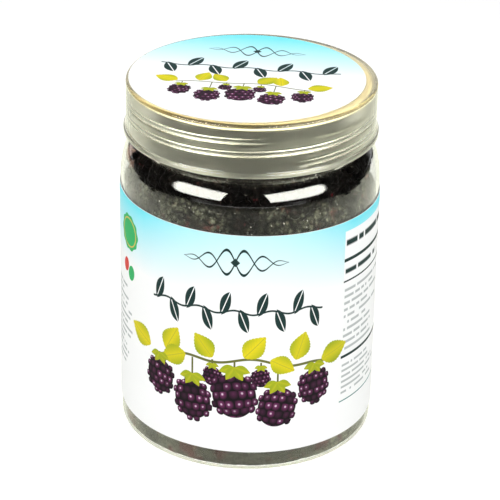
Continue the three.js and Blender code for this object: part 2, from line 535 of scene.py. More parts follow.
def drawLeaf(x, y, warmth):  # one printed leaf along x from 0 to 1, with a notched edge, midrib and side veins
    plan = leafPrint
    side = sizeOf(y)
    swell = times(x, minus(1.0, x), plan["swell"])
    swell = times(swell, line(x, *plan["taper"]))
    notch = sizeOf(calc("SINE", times(x, plan["notches"])))
    edge = line(notch, plan["notchDepth"], swell)
    along = within(sizeOf(minus(x, 0.5)), *plan["length"])
    mask = times(within(side, edge, plan["edgeSoft"]), along)
    rib = within(side, *plan["rib"])
    lean = line(side, plan["veinLean"], x)
    vein = sizeOf(calc("SINE", times(lean, plan["veins"])))
    vein = times(within(vein, *plan["vein"]), plan["veinInk"])
    fade = ramp(side, plan["edgeWarmth"], warmth)
    color = mixColor(fade, plan["yellow"], plan["green"])
    return [mixColor(calc("MAXIMUM", rib, vein), color, plan["pale"]), mask]


def drawBox(x, y, halfWidth, halfHeight):  # a filled box
    return [times(within(sizeOf(x), halfWidth, printSoft), within(sizeOf(y), halfHeight, printSoft))]


barPrint = {
    "bar": (0.2, 0.12),  # half height and soft edge, in pitches
    "length": (0.45, 0.55),  # how much it varies, and the least, of the block's width
    "words": 0.9,  # places for a short bar in a millimetre
    "blank": 0.2,  # the share of them that stays blank
}


def drawBars(x, y, width, height, pitch, seed):  # rows of short bars, going right and down from the corner
    plan = barPrint
    down = times(y, -1.0)
    rowPlace = calc("DIVIDE", down, pitch)
    key = calc("ADD", calc("FLOOR", rowPlace), seed)
    inRow = sizeOf(minus(calc("FRACT", rowPlace), 0.5))
    length = times(line(whiteDraw(key), *plan["length"]), width)
    word = whiteDraw(line(key, 61.7, calc("FLOOR", times(x, plan["words"]))))
    return [times(
        within(inRow, *plan["bar"]),
        within(x, length, printSoft),
        calc("GREATER_THAN", word, plan["blank"]),
        calc("GREATER_THAN", x, 0.0),
        calc("GREATER_THAN", down, 0.0),
        calc("LESS_THAN", down, height),
    )]


garlandPrint = {  # in leaf spacings along it, and in its height across
    "slant": 58,
    "foot": 0.3,
    "blade": (-1.1, 0.28),  # its taper and its half width
    "rib": 0.022,
    "wave": 0.07,
    "stem": 0.035,
    "soft": 0.02,
    "ribSoft": 0.015,
}


def drawGarland(x, y, halfLength):  # a band of slanted leaves on a waving stem
    plan = garlandPrint
    odd = line(calc("FLOORED_MODULO", calc("FLOOR", x), 2.0), 2.0, -1.0)
    footX = minus(calc("FRACT", x), 0.5)
    footY = minus(times(y, odd), plan["foot"])
    slant = math.radians(plan["slant"])
    along = line(footX, math.cos(slant), times(footY, math.sin(slant)))
    off = sizeOf(line(footY, math.cos(slant), times(footX, -math.sin(slant))))
    blade = within(off, line(times(along, along), *plan["blade"]), plan["soft"])
    blade = times(blade, within(times(off, -1.0), -plan["rib"], plan["ribSoft"]))
    wave = times(calc("COSINE", times(x, math.pi)), plan["wave"])
    stem = within(sizeOf(minus(y, wave)), plan["stem"], plan["soft"])
    ends = within(sizeOf(x), halfLength, plan["soft"])
    return [times(calc("MAXIMUM", blade, stem), ends)]


flourishPrint = {"waves": 9.0, "height": 0.3, "weight": (0.03, 0.004), "gem": 0.09, "soft": 0.01}


def drawFlourish(x, y):  # two thin crossing swashes with a small diamond, in axes where the half length is 1
    plan = flourishPrint
    soft = plan["soft"]
    far = sizeOf(x)
    damp = calc("SUBTRACT", 1.0, far, clamp=True)
    curve = times(calc("SINE", times(x, plan["waves"])), times(damp, plan["height"]))
    weight = line(damp, *plan["weight"])
    over = within(sizeOf(minus(y, curve)), weight, soft)
    under = within(sizeOf(calc("ADD", y, curve)), weight, soft)
    gem = within(calc("ADD", far, sizeOf(y)), plan["gem"], soft)
    mask = calc("MAXIMUM", calc("MAXIMUM", over, under), gem)
    return [times(mask, within(far, 1.0, soft))]


printSoft = 0.1  # the soft edge of plain printed shapes, in mm
handledHaze = newGroup("handledHaze", drawHaze, ["Vector", "Amount", "Frost"], ["Roughness"])
printedBerry = newGroup("printedBerry", drawBerry, ["X", "Y", "Variation"], ["Color", "Mask"])
printedLeaf = newGroup("printedLeaf", drawLeaf, ["X", "Y", "Warmth"], ["Color", "Mask"])
printedBox = newGroup("printedBox", drawBox, ["X", "Y", "HalfWidth", "HalfHeight"], ["Mask"])
printedBars = newGroup("printedBars", drawBars, ["X", "Y", "Width", "Height", "Pitch", "Seed"], ["Mask"])
printedGarland = newGroup("printedGarland", drawGarland, ["X", "Y", "HalfLength"], ["Mask"])
printedFlourish = newGroup("printedFlourish", drawFlourish, ["X", "Y"], ["Mask"])


def placed(x, y, place, turn=0.0, size=(1.0, 1.0)):  # a motif's own axes, at a place on the print
    offX = minus(x, place[0])
    offY = minus(y, place[1])
    if turn:
        cosine, sine = math.cos(math.radians(turn)), math.sin(math.radians(turn))
        turnedX = line(offX, cosine, times(offY, sine))
        offY = line(offY, cosine, times(offX, -sine))
        offX = turnedX
    return calc("DIVIDE", offX, size[0]), calc("DIVIDE", offY, size[1])


def printMotif(color, group, x, y, place, turn, size, **values):  # in the motif's own colours
    ownX, ownY = placed(x, y, place, turn, size)
    motif = useGroup(group, X=ownX, Y=ownY, **values)
    return mixColor(motif.outputs["Mask"], color, motif.outputs["Color"])


def printInk(color, group, x, y, place, size, shade, **values):  # in one ink
    ownX, ownY = placed(x, y, place, 0.0, size)
    motif = useGroup(group, X=ownX, Y=ownY, **values)
    return mixColor(motif.outputs["Mask"], color, shade)


# finishes

clearFinish = {
    "jar": {
        "tint": (0.985, 0.99, 0.98, 1),
        "ior": 1.45,
        "haze": 0.03,
        "shadow": (0.93, 0.94, 0.93, 1),
    },
    "lid": {
        "tint": (0.985, 0.98, 0.84, 1),
        "ior": 1.5,
        "haze": 0.08,
        "shadow": (0.93, 0.92, 0.86, 1),
        "innerFrost": 0.3,  # roughness of its inner faces, which were never polished
        "outerSide": 46.9,  # faces nearer the axis and under outerTop are inner ones, in mm
        "outerTop": 142.05,
        "edgeFrost": 0.25,  # of the rounded edge round its top, from edgeSide outwards
        "edgeSide": 46.2,
        "ringShadedLinerTint": (1.0, 0.82, 0.46, 1),  # tan of the ring that the label leaves bare, from ringSide outwards: the cream liner seen through it, with painted shade
        "ringSide": 42.9,
    },
}


def clearPlastic(name, finish):
    material, tree, shader = newMaterial(name)
    vector = placeVector(tree, "Object")
    tint, frost = finish["tint"], 0.0
    if "ringShadedLinerTint" in finish:
        x, y, z = splitXyz(vector)
        squares = squaresOf(x, y)
        under = calc("LESS_THAN", z, finish["outerTop"] * mm)
        above = minus(1.0, under)
        inner = times(calc("LESS_THAN", squares, (finish["outerSide"] * mm) ** 2), under)
        edge = times(above, calc("GREATER_THAN", squares, (finish["edgeSide"] * mm) ** 2))
        ring = times(above, calc("GREATER_THAN", squares, (finish["ringSide"] * mm) ** 2))
        frost = line(edge, finish["edgeFrost"], times(inner, finish["innerFrost"]))
        # the bare ring is tinted tan: the liner's cream seen through it, partly painted shade
        tint = mixColor(ring, tint, finish["ringShadedLinerTint"])
    haze = useGroup(handledHaze, Vector=vector, Amount=finish["haze"], Frost=frost)
    feedAll(shader, {
        "Base Color": tint, "Roughness": haze.outputs[0], "Transmission Weight": 1.0, "IOR": finish["ior"],
    })
    through = tree.nodes.new("ShaderNodeBsdfTransparent")
    feed(through.inputs["Color"], finish["shadow"])
    path = tree.nodes.new("ShaderNodeLightPath")
    mix = tree.nodes.new("ShaderNodeMixShader")
    feedAll(mix, {0: path.outputs["Is Shadow Ray"], 1: shader.outputs[0], 2: through.outputs[0]})
    feed(tree.nodes["Material Output"].inputs["Surface"], mix.outputs[0])
    return material


fruitFinish = {
    "dark": ink(0.0008, 0.0005, 0.0005),
    "brown": ink(0.002, 0.0012, 0.0008),
    # dust grey, also used for painted light: the floor's reflection, and the lighter fruit below the shoulder
    "dustAndPaintedGrey": ink(0.25, 0.255, 0.175),
    "blush": ink(0.23, 0.085, 0.07),
    "bloom": ink(0.5, 0.48, 0.42),
    "red": ink(0.1, 0.008, 0.012),
    "pale": ink(0.22, 0.14, 0.115),
    # scale, detail, and the slope and start of each pattern's strength
    "brownAreas": (130.0, 3.0, 3.0, -1.1),
    "redAreas": (240.0, 2.0, 9.0, -6.0),
    "dustPatches": (95.0, 2.0, 4.5, -1.75),
    "specks": (650.0, 1.0, 14.0, -10.0),
    "sheen": (700.0, 2.0, 0.9, 0.05),
    "blushAreas": (170.0, 1.0, 9.0),
    "wrinkles": (420.0, 3.0, 0.6),
    "ridges": (5.0, 0.1),
    "drupelets": 470.0,
    "drupeletSmooth": 0.3,
    "knobs": (-1.7, 1.25),  # dust sits on the tops of the drupelets
    "aside": (16.0, 0.45),  # how fast the dust, and with it a painted reflection of the floor, grows away from the middle of the front and of the back
    "dustAmount": (0.85, 0.15),
    "bloomAmount": (0.85, 0.1),
    "paintedShadeEdge": 700.0,
    "paintedShadeAbove": 0.1075,  # above this height the berries lose the dust and stay dark: painted shade under the shoulder
    "ragged": (260.0, 0.004),  # scale and height of that edge
    "heelTop": 0.014,  # the band below it is painted evenly grey: dust, with a painted reflection of the floor
    "heelAside": (5.0, 0.12),
    "heelPatches": (0.45, 0.6),
    "heelBlush": (0.02, 0.012, 0.006),  # to the left of the middle, half width and soft edge
    "blushStart": -5.2,  # outside that place there is none
    "paleSpot": (-0.0435, -0.004, 0.1135),  # the middle of one berry that dried pale
    "paleReach": (0.0065, 0.0008),  # radius and soft edge
    "relief": 1.3,
    "foldHeight": 11.0,
    "drupeletHeight": -0.9,
    "gloss": 0.03,
}


def patchNoise(vector, pattern):
    scale, detail, slope, start = pattern
    return ramp(noise(vector, scale, detail), slope, start)


def fruitSkin():
    finish = fruitFinish
    material, tree, shader = newMaterial("dried_fruit_skin")
    vector = placeVector(tree, "Object")
    x, y, z = splitXyz(vector)
    side = sizeOf(x)
    color = mixColor(patchNoise(vector, finish["brownAreas"]), finish["dark"], finish["brown"])
    color = mixColor(patchNoise(vector, finish["redAreas"]), color, finish["red"])
    folds = sizeOf(minus(noise(vector, *finish["wrinkles"]), 0.5))
    ridge = ramp(folds, *finish["ridges"])
    patch = patchNoise(vector, finish["dustPatches"])
    # below a ragged line the berries get dust and look lighter, and above it they stay dark: painted shade under
    # the shoulder
    scale, depth = finish["ragged"]
    ragged = line(noise(vector, scale, 1.0), depth, finish["paintedShadeAbove"])
    low = calc("MULTIPLY", minus(ragged, z), finish["paintedShadeEdge"], clamp=True)
    cells = tree.nodes.new("ShaderNodeTexVoronoi")
    cells.feature = "SMOOTH_F1"
    feedAll(cells, {"Vector": vector, "Scale": finish["drupelets"], "Smoothness": finish["drupeletSmooth"]})
    knob = ramp(cells.outputs["Distance"], *finish["knobs"])
    # dust on the wrinkles and drupelets, together with painted light: stronger towards the sides as a painted
    # reflection of the floor, and only below the painted shade line
    dustAndPaintedLight = times(ridge, knob, line(patch, *finish["dustAmount"]))
    dustAndPaintedLight = times(low, ramp(side, *finish["aside"]), dustAndPaintedLight)
    # in the band at the bottom the mark becomes an even grey that grows to the sides: dust with a painted
    # reflection of the floor
    heel = calc("LESS_THAN", z, finish["heelTop"])
    even = times(ramp(side, *finish["heelAside"]), line(patch, *finish["heelPatches"]))
    dustAndPaintedLight = calc("ADD", dustAndPaintedLight, times(heel, minus(even, dustAndPaintedLight)))
    left, half, soft = finish["heelBlush"]
    leftHeel = times(heel, within(sizeOf(calc("ADD", x, left)), half, soft))
    scale, detail, slope = finish["blushAreas"]
    likely = line(leftHeel, 1.0, finish["blushStart"])
    blush = ramp(noise(vector, scale, detail), slope, likely)
    color = mixColor(dustAndPaintedLight, color, mixColor(blush, finish["dustAndPaintedGrey"], finish["blush"]))
    speck = times(patchNoise(vector, finish["specks"]), minus(1.0, heel))
    # bloom specks, mostly kept below the painted shade line
    color = mixColor(times(speck, line(low, *finish["bloomAmount"])), color, finish["bloom"])
    away = [minus(value, at) for value, at in zip((x, y, z), finish["paleSpot"])]
    far = calc("SQRT", line(away[2], away[2], squaresOf(away[0], away[1])))
    color = mixColor(within(far, *finish["paleReach"]), color, finish["pale"])
    sheen = patchNoise(vector, finish["sheen"])
    feedAll(shader, {"Base Color": color, "Roughness": sheen, "Specular IOR Level": finish["gloss"]})
    rounded = times(folds, folds, finish["foldHeight"])
    height = line(cells.outputs["Distance"], finish["drupeletHeight"], rounded)
    roughen(shader, height, 1.0, finish["relief"] * mm)
    return material


foamFinish = {
    "dark": ink(0.86, 0.8, 0.62),
    "light": ink(0.92, 0.87, 0.72),
    "clouds": 60.0,
    "rough": 0.6,
    "pores": 2500.0,
    "poreBump": (0.25, 0.1 * mm),
}


def foamSkin():
    finish = foamFinish
    material, tree, shader = newMaterial("liner_foam")
    vector = placeVector(tree, "Object")
    color = mixColor(noise(vector, finish["clouds"], 3.0), finish["dark"], finish["light"])
    feedAll(shader, {"Base Color": color, "Roughness": finish["rough"]})
    roughen(shader, noise(vector, finish["pores"], 2.0), *finish["poreBump"])
    return material


paperFinish = {"rough": 0.58, "specular": 0.1, "grain": 1800.0, "grainBump": (0.08, 0.05 * mm)}


def finishPaper(shader, color):
    finish = paperFinish
    feedAll(shader, {
        "Base Color": color, "Roughness": finish["rough"], "Specular IOR Level": finish["specular"],
    })
    grain = noise(placeVector(color.id_data, "Object"), finish["grain"], 3.0)
    roughen(shader, grain, *finish["grainBump"])


inks = {
    "white": ink(0.84, 0.85, 0.85),
    "sky": ink(0.17, 0.72, 0.82),
    "night": ink(0.008, 0.03, 0.028),
    "grey": ink(0.4, 0.43, 0.43),
    "teal": ink(0.01, 0.16, 0.15),
    "green": ink(0.03, 0.4, 0.12),
    "gold": ink(0.6, 0.45, 0.1),
    "red": ink(0.6, 0.05, 0.04),
    "branch": ink(0.12, 0.13, 0.03),
}

# the wrap label's print, in mm: x along the paper from the front, y up from its lower edge
wrapPrint = {
    "sky": (65, 91, 0.55, 45),  # where it begins and is full, how strong in the middle, half width of that middle
    "branch": (-4.5, 39.5, 0.0035),  # middle, top and sag
    "stem": 0.55,
    "berries": [(-36, 26, 8.2), (-21, 20.5, 9.4), (-4.5, 24.5, 10.6), (12, 19.5, 9.4), (27, 26.5, 8.2)],
    "leaves": [  # foot x, foot y, turn, length
        (-41, 37, 158, 13), (-33, 38.5, 62, 12), (-24, 39.5, 205, 12), (-13, 40, 128, 11.5),
        (-1, 41, 48, 12), (9, 40, 330, 11), (19, 39, 72, 12), (30, 37, 15, 13),
    ],
    "smallBerries": [(-13, 32, 4.6), (5.5, 32.5, 4.4)],
    "garland": (-4.8, 60, 6.9, 11.6, 5),  # middle, leaf spacing, height, half the number of leaves
    "flourish": (-4.8, 80.5, 20),
    "badge": (-56.7, 77.8, 7.6),
    "dots": [(-59.6, 63.2, 3.1, "red"), (-54.8, 61.2, 3.3, "green")],
    "dotLean": (-20, 0.75),  # turn, and width over height
    "panel": (61.4, 51, 21.4, 36.4),  # middle, half width and half height
    "rules": [(75.3, 0.7, "night"), (66.4, 0.35, "night"), (34.1, 0.6, "night"), (14.6, 0.25, "teal")],
    "boldBars": [(40.8, 85.5, 39.8, 6, 6, 3), (40.8, 73, 32, 4.8, 4.8, 9)],
    "greyBars": [  # corner x, corner y, width, height, pitch, seed
        (40.8, 64, 30, 28, 2.8, 15), (40.8, 31.5, 32, 14, 2.4, 40), (-78, 55, 24, 36, 2.6, 70),
        (-140, 78, 44, 58, 3.2, 120), (96, 78, 40, 46, 3.2, 180),
    ],
}


def printBars(color, x, y, block, shade):
    left, top, width, height, pitch, seed = block
    return printInk(
        color, printedBars, x, y, (left, top), (1, 1), shade, Width=width, Height=height, Pitch=pitch, Seed=seed
    )


def printBox(color, x, y, place, halfWidth, halfHeight, shade):
    return printInk(color, printedBox, x, y, place, (1, 1), shade, HalfWidth=halfWidth, HalfHeight=halfHeight)


sprayPlan = {
    "wiggle": (0.23, 2),  # how often the branch sways, and how far in stems
    "hangers": 0.7,  # their half width in stems
    "leafWarmth": (0.04, 0.09),
    "berryTurns": (-9, 12, -6, 4, 8, -12, 6),
    "berryTall": 1.14,
    "sepals": (200, 240, 300, 340),
    "sepalFoot": 1.16,  # in half widths of the berry above its middle
    "sepalSize": (0.6, 0.5),
    "sepalWarmth": 0.7,
    "soft": 0.2,
}


def printSpray(color, x, y, plan):  # a hanging spray: branch, stems, leaves and berries
    spray = sprayPlan
    middle, top, sag = plan["branch"]
    lastX, lastY, lastHalf = plan["berries"][-1]
    sway, swing = spray["wiggle"]
    off = minus(x, middle)
    arch = line(times(off, off), -sag, top)
    wiggle = times(calc("SINE", times(off, sway)), plan["stem"] * swing)
    gap = sizeOf(minus(minus(y, arch), wiggle))
    branch = within(gap, plan["stem"], spray["soft"])
    branch = times(branch, within(sizeOf(off), lastX - middle + lastHalf / 2, spray["soft"]))
    color = mixColor(branch, color, inks["branch"])
    for left, low, half in plan["berries"] + plan["smallBerries"]:
        drop = top - sag * (left - middle) ** 2 - low
        width = plan["stem"] * spray["hangers"]
        color = printBox(color, x, y, (left, low + drop / 2), width, drop / 2, inks["branch"])
    first, growth = spray["leafWarmth"]
    for i, (left, low, turn, size) in enumerate(plan["leaves"]):
        warmth = first + growth * (i % 4)
        color = printMotif(color, printedLeaf, x, y, (left, low), turn, (size, size), Warmth=warmth)
    for i, (left, low, half) in enumerate(plan["smallBerries"] + plan["berries"]):
        turn = spray["berryTurns"][i % len(spray["berryTurns"])]
        size = (half, half * spray["berryTall"])
        color = printMotif(color, printedBerry, x, y, (left, low), turn, size, Variation=1.0 + i)
        foot = (left, low + half * spray["sepalFoot"])
        size = [half * share for share in spray["sepalSize"]]
        for turn in spray["sepals"]:
            color = printMotif(color, printedLeaf, x, y, foot, turn, size, Warmth=spray["sepalWarmth"])
    return color


def printOrnaments(color, x, y, plan):  # the garland and the flourish above the spray
    left, low, spacing, tall, halfLength = plan["garland"]
    size = (spacing, tall)
    color = printInk(color, printedGarland, x, y, (left, low), size, inks["night"], HalfLength=halfLength)
    left, low, half = plan["flourish"]
    return printInk(color, printedFlourish, x, y, (left, low), (half, half), inks["night"])


badgePlan = {"lobes": 10.0, "edge": (0.035, 0.96), "soft": 0.02, "ring": 0.76, "ringHalf": 0.035}


def printBadge(color, x, y, badge):  # a plain scalloped seal: green, with a gold ring
    plan = badgePlan
    left, low, radius = badge
    ownX, ownY = placed(x, y, (left, low), 0, (radius, radius))
    spin = calc("ARCTAN2", ownY, ownX)
    reach = reachOf(ownX, ownY)
    lobes = line(calc("COSINE", times(spin, plan["lobes"])), *plan["edge"])
    color = mixColor(within(reach, lobes, plan["soft"]), color, inks["green"])
    ring = within(sizeOf(minus(reach, plan["ring"])), plan["ringHalf"], plan["soft"])
    return mixColor(ring, color, inks["gold"])


def printSky(x, y, low, high, middle, half):  # blue that fades going down, and is paler in the middle
    depth = ramp(y, 1 / (high - low), -low / (high - low))
    aside = calc("MINIMUM", times(sizeOf(x), 1 / half), 1.0)
    weight = line(times(aside, aside), 1 - middle, middle)
    return mixColor(times(depth, weight), inks["white"], inks["sky"])


def wrapPaper():
    material, tree, shader = newMaterial("wrap_label_print")
    x, y, z = splitXyz(placeVector(tree, "UV"))
    plan = wrapPrint
    color = printSky(x, y, *plan["sky"])
    left, low, halfWidth, halfHeight = plan["panel"]
    color = printBox(color, x, y, (left, low), halfWidth, halfHeight, inks["white"])
    for height, half, shade in plan["rules"]:
        color = printBox(color, x, y, (left, height), halfWidth, half, inks[shade])
    for block in plan["boldBars"]:
        color = printBars(color, x, y, block, inks["night"])
    for block in plan["greyBars"]:
        color = printBars(color, x, y, block, inks["grey"])
    color = printSpray(color, x, y, plan)
    color = printOrnaments(color, x, y, plan)
    color = printBadge(color, x, y, plan["badge"])
    turn, narrow = plan["dotLean"]
    for left, low, radius, shade in plan["dots"]:
        ownX, ownY = placed(x, y, (left, low), turn, (radius * narrow, radius))
        color = mixColor(within(squaresOf(ownX, ownY), 1.0, printSoft), color, inks[shade])
    finishPaper(shader, color)
    return material


# the lid label's print, in mm from its middle, turned as it was stuck on
lidPrint = {
    "sky": (4, 42, 1, 45),
    "branch": (0, -7.5, 0.004),
    "stem": 0.3,
    "berries": [(-23, -17, 5), (-12, -21, 5.9), (0, -18.5, 6.8), (12, -21, 5.9), (23, -17, 5)],
    "leaves": [
        (-25, -8.5, 160, 9.5), (-17, -7.5, 75, 9), (-7, -6.5, 130, 8.5),
        (5, -6.5, 48, 9.5), (14, -7.5, 100, 8.5), (24, -8.5, 18, 9.5),
    ],
    "smallBerries": [(-6.5, -12.5, 3), (6.5, -12.5, 3)],
    "garland": (0, 8, 8.6, 11.5, 4),
    "flourish": (0, 26.5, 19),
    "turn": -8,
}


def lidPaper():
    material, tree, shader = newMaterial("lid_label_print")
    plan = lidPrint
    x, y, z = splitXyz(placeVector(tree, "UV"))
    x, y = placed(x, y, (0, 0), plan["turn"])
    color = printSky(x, y, *plan["sky"])
    color = printSpray(color, x, y, plan)
    color = printOrnaments(color, x, y, plan)
    finishPaper(shader, color)
    return material


# jar

jarShape = {
    "bodyRadius": 49.6,
    "wall": 1.0,
    "footRadius": 40.0,
    "pushUp": 4.6,
    "heel": 3.4,
    "shoulderStart": 104.0,
    "upperShoulder": 113.0,
    "gentleArc": 36.0,
    "tightArc": 14.0,
    "arcSteps": (6, 12),
    "heelSteps": 10,
    "neckRadius": 44.6,
    "neckBore": 43.0,
    "rim": 139.8,
    "rimRound": 0.7,
    "mouthEdge": 0.2,
    "steps": 192,
    "smooth": 38,  # edges flatter than this shade smooth, in degrees, on the lid and the liner too
}
threadShape = {
    "pitch": 5.08,
    "start": 15,  # azimuth
    "sink": 0.5,  # of its root into the wall
    "fade": 0.085,  # in turns
    "edge": 0.25,  # where the crest begins to round
    "crown": 0.05,
    "flank": (0.12, 0.15),
    "foot": 0.92,
    "kept": 0.15,  # how deep in the wall the bead stays where it runs out
    "steps": 96,  # in a turn
}
neckThread = {"height": 129.04, "turns": 1.5, "wall": 44.6, "crest": 45.9, "rootHalf": 1.3, "crestHalf": 0.6}
lidThread = {"height": 126.5, "turns": 2, "wall": 46.2, "crest": 44.95, "rootHalf": 1.3, "crestHalf": 0.7}


def shoulderOutline(inset, endRadius):
    shape = jarShape
    turn = math.asin((shape["upperShoulder"] - shape["shoulderStart"]) / shape["gentleArc"])
    gentleCentre = shape["bodyRadius"] - shape["gentleArc"]
    step = shape["gentleArc"] - shape["tightArc"]
    centreR = gentleCentre + step * math.cos(turn)
    centreZ = shape["shoulderStart"] + step * math.sin(turn)
    radius = shape["tightArc"] - inset
    end = math.degrees(math.acos((endRadius - centreR) / radius))
    turn = math.degrees(turn)
    gentleSteps, tightSteps = shape["arcSteps"]
    lower = arcPoints(gentleCentre, shape["shoulderStart"], shape["gentleArc"] - inset, 0, turn, gentleSteps)
    return lower + arcPoints(centreR, centreZ, radius, turn, end, tightSteps)[1:]


def baseOutline(inset):
    shape = jarShape
    steps = shape["heelSteps"]
    shares = [i / steps for i in range(steps + 1)]
    dome = [(shape["footRadius"] * share, inset + shape["pushUp"] * (1 - share ** 2)) for share in shares]
    centre = shape["bodyRadius"] - shape["heel"]
    return dome + arcPoints(centre, shape["heel"], shape["heel"] - inset, -90, 0, steps)


def makeThread(thread):  # a rounded bead carried up its helix, with ends that run out into the wall
    shape = threadShape
    wall, crest = thread["wall"], thread["crest"]
    side = 1 if crest > wall else -1
    root = wall - side * shape["sink"]
    middle = thread["height"]
    rise, flat = thread["rootHalf"], thread["crestHalf"]
    flankOut, flankIn = shape["flank"]
    lower = [
        (root, rise), (wall, rise * shape["foot"]), (crest - side * shape["edge"], flat + flankOut),
        (crest - side * shape["crown"], flat - flankIn),
    ]
    outline = [(radius, middle - off) for radius, off in lower] + [(crest, middle)]
    outline += [(radius, middle + off) for radius, off in reversed(lower)] + [(root, middle - rise)]
    bead = traceOutline("bead", outline, True)
    bpy.ops.mesh.select_all(action="SELECT")
    turnToStart = shape["start"] - 90  # the outline lies along +X, which is azimuth 90
    bpy.ops.transform.rotate(value=-math.radians(turnToStart), orient_axis="Z", center_override=(0, 0, 0))
    bpy.ops.object.mode_set(mode="OBJECT")
    screw = bead.modifiers.new("helix", "SCREW")
    screw.axis = "Z"
    screw.angle = math.tau * thread["turns"]
    screw.screw_offset = shape["pitch"] * thread["turns"] * mm
    screw.steps = int(shape["steps"] * thread["turns"])
    screw.render_steps = screw.steps
    screw.use_smooth_shade = True
    applyAll(bead)
    bpy.ops.object.mode_set(mode="EDIT")
    bpy.ops.mesh.select_all(action="DESELECT")
    bpy.ops.mesh.select_non_manifold()
    bpy.ops.mesh.fill()
    bpy.ops.mesh.select_all(action="SELECT")
    bpy.ops.mesh.normals_make_consistent(inside=False)
    bpy.ops.object.mode_set(mode="OBJECT")
    for vertex in bead.data.vertices:
        azimuth = azimuthOf(vertex.co)
        part = ((azimuth - shape["start"]) / 360) % 1.0
        whole = round((vertex.co.z / mm - middle) / shape["pitch"] - part)
        along = part + whole
        strength = max(0.0, min(1.0, along / shape["fade"], (thread["turns"] - along) / shape["fade"]))
        strength = strength * strength * (3 - 2 * strength)
        radius = vertex.co.xy.length / mm
        low = wall - side * shape["kept"]
        if side * (radius - low) > 0:
            drawIn(vertex, (low + (radius - low) * strength) / radius)
    return bead


def joinBead(piece, bead):
    join = piece.modifiers.new("join", "BOOLEAN")
    join.operation = "UNION"
    join.solver = "MANIFOLD"
    join.object = bead
    applyAll(piece)
    bpy.data.objects.remove(bead)


def makeJar():
    shape = jarShape
    neck = shape["neckRadius"]
    bend = shape["rimRound"]
    outline = baseOutline(0) + shoulderOutline(0, neck)
    outline += arcPoints(neck - bend, shape["rim"] - bend, bend, 0, 90, 5)
    edge = shape["mouthEdge"]
    outline += [(shape["neckBore"] + edge, shape["rim"]), (shape["neckBore"], shape["rim"] - edge)]
    outline += list(reversed(shoulderOutline(shape["wall"], shape["neckBore"])))
    outline += list(reversed(baseOutline(shape["wall"])))
    jar = spinOutline("clear_jar", outline, shape["steps"])
    joinBead(jar, makeThread(neckThread))
    smoothBelow(jar, shape["smooth"])
    finishPiece(jar, "jar", "clear_jar", clearPlastic("clear_jar_plastic", clearFinish["jar"]), "jar_body")


# lid

lidShape = {
    "top": 143.0,
    "plate": 1.4,
    "radius": 47.4,
    "bore": 46.2,
    "edge": 1.0,
    "flangeRadius": 48.4,
    "flangeBottom": 122.6,
    "flangeTop": 124.4,
    "innerRound": 0.6,
    "leadIn": (0.5, 0.8),
    "lowerRound": 0.4,
    "upperRound": 0.5,
    "fillet": [(0.12, 0.1), (0.0, 0.3)],
    "inner": (20, 38),  # radii of rings in the flat of the plate
    "steps": 192,
}


def makeLid():
    shape = lidShape
    under = shape["top"] - shape["plate"]
    edgeCentre = shape["radius"] - shape["edge"]
    flange = shape["flangeRadius"]
    bottom = shape["flangeBottom"]
    inner, lower, upper = shape["innerRound"], shape["lowerRound"], shape["upperRound"]
    leadOut, leadUp = shape["leadIn"]
    flat = (0,) + shape["inner"]
    outline = [(radius, under) for radius in flat]
    outline += arcPoints(shape["bore"] - inner, under - inner, inner, 90, 0, 4)
    outline += [(shape["bore"], bottom + leadUp), (shape["bore"] + leadOut, bottom)]
    outline += arcPoints(flange - lower, bottom + lower, lower, -90, 0, 4)
    outline += arcPoints(flange - upper, shape["flangeTop"] - upper, upper, 0, 80, 5)
    outline += [(shape["radius"] + out, shape["flangeTop"] + up) for out, up in shape["fillet"]]
    outline += arcPoints(edgeCentre, shape["top"] - shape["edge"], shape["edge"], 0, 90, 9)
    outline += [(radius, shape["top"]) for radius in reversed(flat)]
    lid = spinOutline("clear_lid", outline, shape["steps"])
    joinBead(lid, makeThread(lidThread))
    smoothBelow(lid, jarShape["smooth"])
    finishPiece(lid, "lid", "clear_lid", clearPlastic("clear_lid_plastic", clearFinish["lid"]), "lid_shell")


linerShape = {"radius": 45.0, "bottom": 140.05, "top": 141.4, "round": 0.35, "inner": 30, "steps": 128}


def makeLiner():
    shape = linerShape
    bend = shape["round"]
    edge = shape["radius"] - bend
    outline = [(0, shape["bottom"]), (shape["inner"], shape["bottom"])]
    outline += arcPoints(edge, shape["bottom"] + bend, bend, -90, 0, 4)
    outline += arcPoints(edge, shape["top"] - bend, bend, 0, 90, 4)
    outline += [(shape["inner"], shape["top"]), (0, shape["top"])]
    liner = spinOutline("liner_disc", outline, shape["steps"])
    smoothBelow(liner, jarShape["smooth"])
    finishPiece(liner, "liner", "liner_foam", foamSkin(), "lid_liner")


# labels

blankSpot = (0, -100)  # a bare part of the print
lidLabelShape = {
    "radius": 44.6,
    "shift": -1.8,
    "bottom": 143.05,
    "top": 143.3,
    "round": 0.06,
    "steps": 160,
    "smooth": 30,  # in degrees, for both labels
}
wrapShape = {
    "outer": 49.99,
    "thickness": 0.22,
    "bottom": 9.1,
    "top": 100.65,
    "skew": 0.67,  # in mm for each radian
    "seamGap": 1.5,  # in degrees on each side of the back
    "steps": 240,
    "rows": 4,
}


def printLayer(label):  # the label's one UV map, in mm on the paper
    while label.data.uv_layers:
        label.data.uv_layers.remove(label.data.uv_layers[0])
    return label.data.uv_layers.new(name="print")


def blankBacks(label, isPrinted):  # the back and the cut edges of the paper have nothing on them
    layer = label.data.uv_layers["print"]
    for face in label.data.polygons:
        if not isPrinted(face):
            for loop in face.loop_indices:
                layer.data[loop].uv = blankSpot


